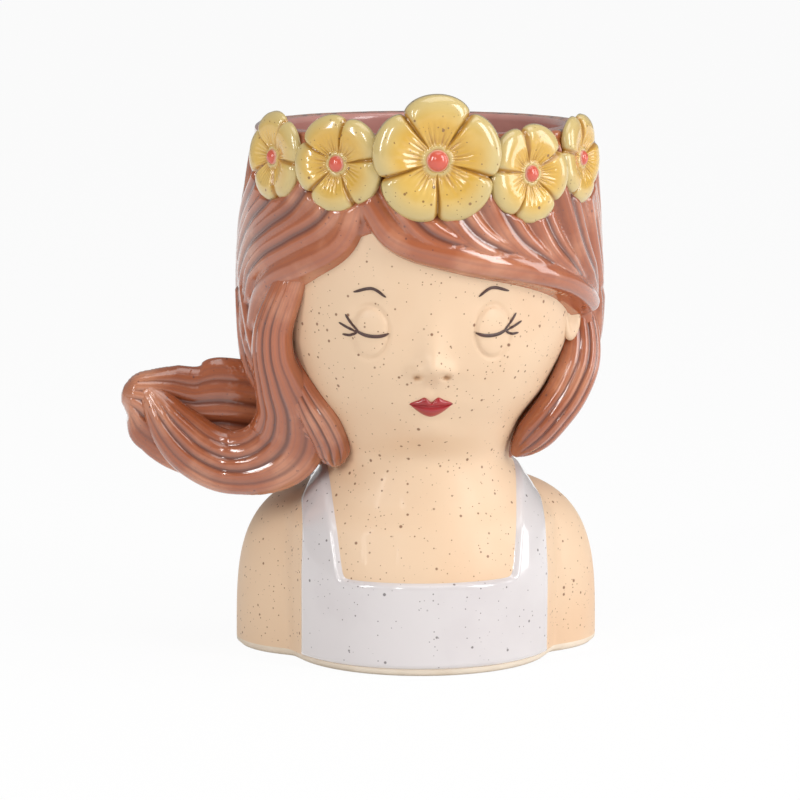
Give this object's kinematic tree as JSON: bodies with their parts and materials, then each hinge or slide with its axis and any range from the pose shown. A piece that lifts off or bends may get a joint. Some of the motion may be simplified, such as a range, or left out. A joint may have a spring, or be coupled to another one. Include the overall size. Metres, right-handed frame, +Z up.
{
  "type": "head planter",
  "caption": "Ceramic bust of a girl with closed eyes, windblown hair, a flower crown and a sun top; the open head is a plant pot.",
  "frame": {"origin": "middle of the foot, on the surface that the planter stands on", "axes": "+Z up out of the planting mouth, face looking towards -Y, blown hair towards -X"},
  "size_m": [0.165, 0.1277, 0.1934],
  "materials": {
    "skin_glaze": "satin",
    "hair_glaze": "gloss",
    "white_glaze": "gloss",
    "yellow_glaze": "gloss",
    "coral_glaze": "gloss"
  },
  "bodies": {
    "root": {"pot_shell": "skin_glaze", "ear": "skin_glaze", "hair_cap": "hair_glaze", "fringe_right": "hair_glaze", "fringe_left": "hair_glaze", "side_lock": "hair_glaze", "flip_curl": "hair_glaze", "back_hair": "hair_glaze", "nape_lock": "hair_glaze", "bodice_front": "white_glaze", "bodice_back": "white_glaze", "strap_left": "white_glaze", "strap_right": "white_glaze", "flower_middle": "yellow_glaze", "bead_middle": "coral_glaze", "flower_left": "yellow_glaze", "bead_left": "coral_glaze", "flower_right": "yellow_glaze", "bead_right": "coral_glaze", "flower_far_left": "yellow_glaze", "bead_far_left": "coral_glaze", "flower_far_right": "yellow_glaze", "bead_far_right": "coral_glaze"}
  },
  "joints": []
}
